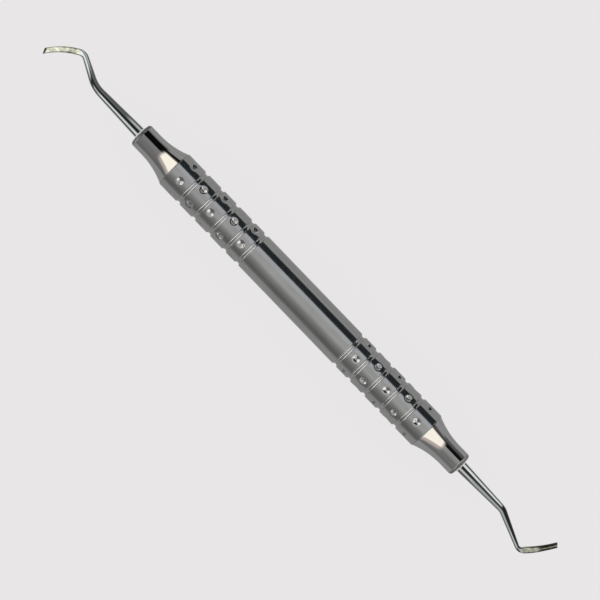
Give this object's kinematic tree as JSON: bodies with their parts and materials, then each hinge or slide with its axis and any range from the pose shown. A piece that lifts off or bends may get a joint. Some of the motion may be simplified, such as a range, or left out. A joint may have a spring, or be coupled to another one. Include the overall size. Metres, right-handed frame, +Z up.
{
  "type": "hand scaler",
  "caption": "Double-ended dental hand scaler: hollow round steel handle with grooved and dimpled grips, conical noses and angled shanks carrying short curved blades.",
  "frame": {"origin": "middle of the object's length and width, level with the underside of the handle", "axes": "+X along the handle towards end B, +Z up out of the surface the instrument lies on, +Y sideways, opposite to the side that end B's heel leans to"},
  "size_m": [0.1714, 0.01, 0.01],
  "materials": {
    "barrel_steel": "satin, lightly polished round the tube",
    "grip_steel_a": "satin, with bright dimples",
    "grip_steel_b": "satin, with bright dimples",
    "nose_steel_a": "mirror polished",
    "nose_steel_b": "mirror polished",
    "braze_a": "bright silver brazing alloy, polished flush",
    "braze_b": "bright silver brazing alloy, polished flush",
    "blade_steel_a": "hardened and polished, ground at the tip",
    "blade_steel_b": "hardened and polished, ground at the tip"
  },
  "bodies": {
    "root": {"handle_barrel": "barrel_steel", "grip_sleeve_a": "grip_steel_a", "grip_sleeve_b": "grip_steel_b", "nose_cone_a": "nose_steel_a", "nose_cone_b": "nose_steel_b", "braze_ring_a": "braze_a", "braze_ring_b": "braze_b", "working_end_a": "blade_steel_a", "working_end_b": "blade_steel_b"}
  },
  "joints": []
}
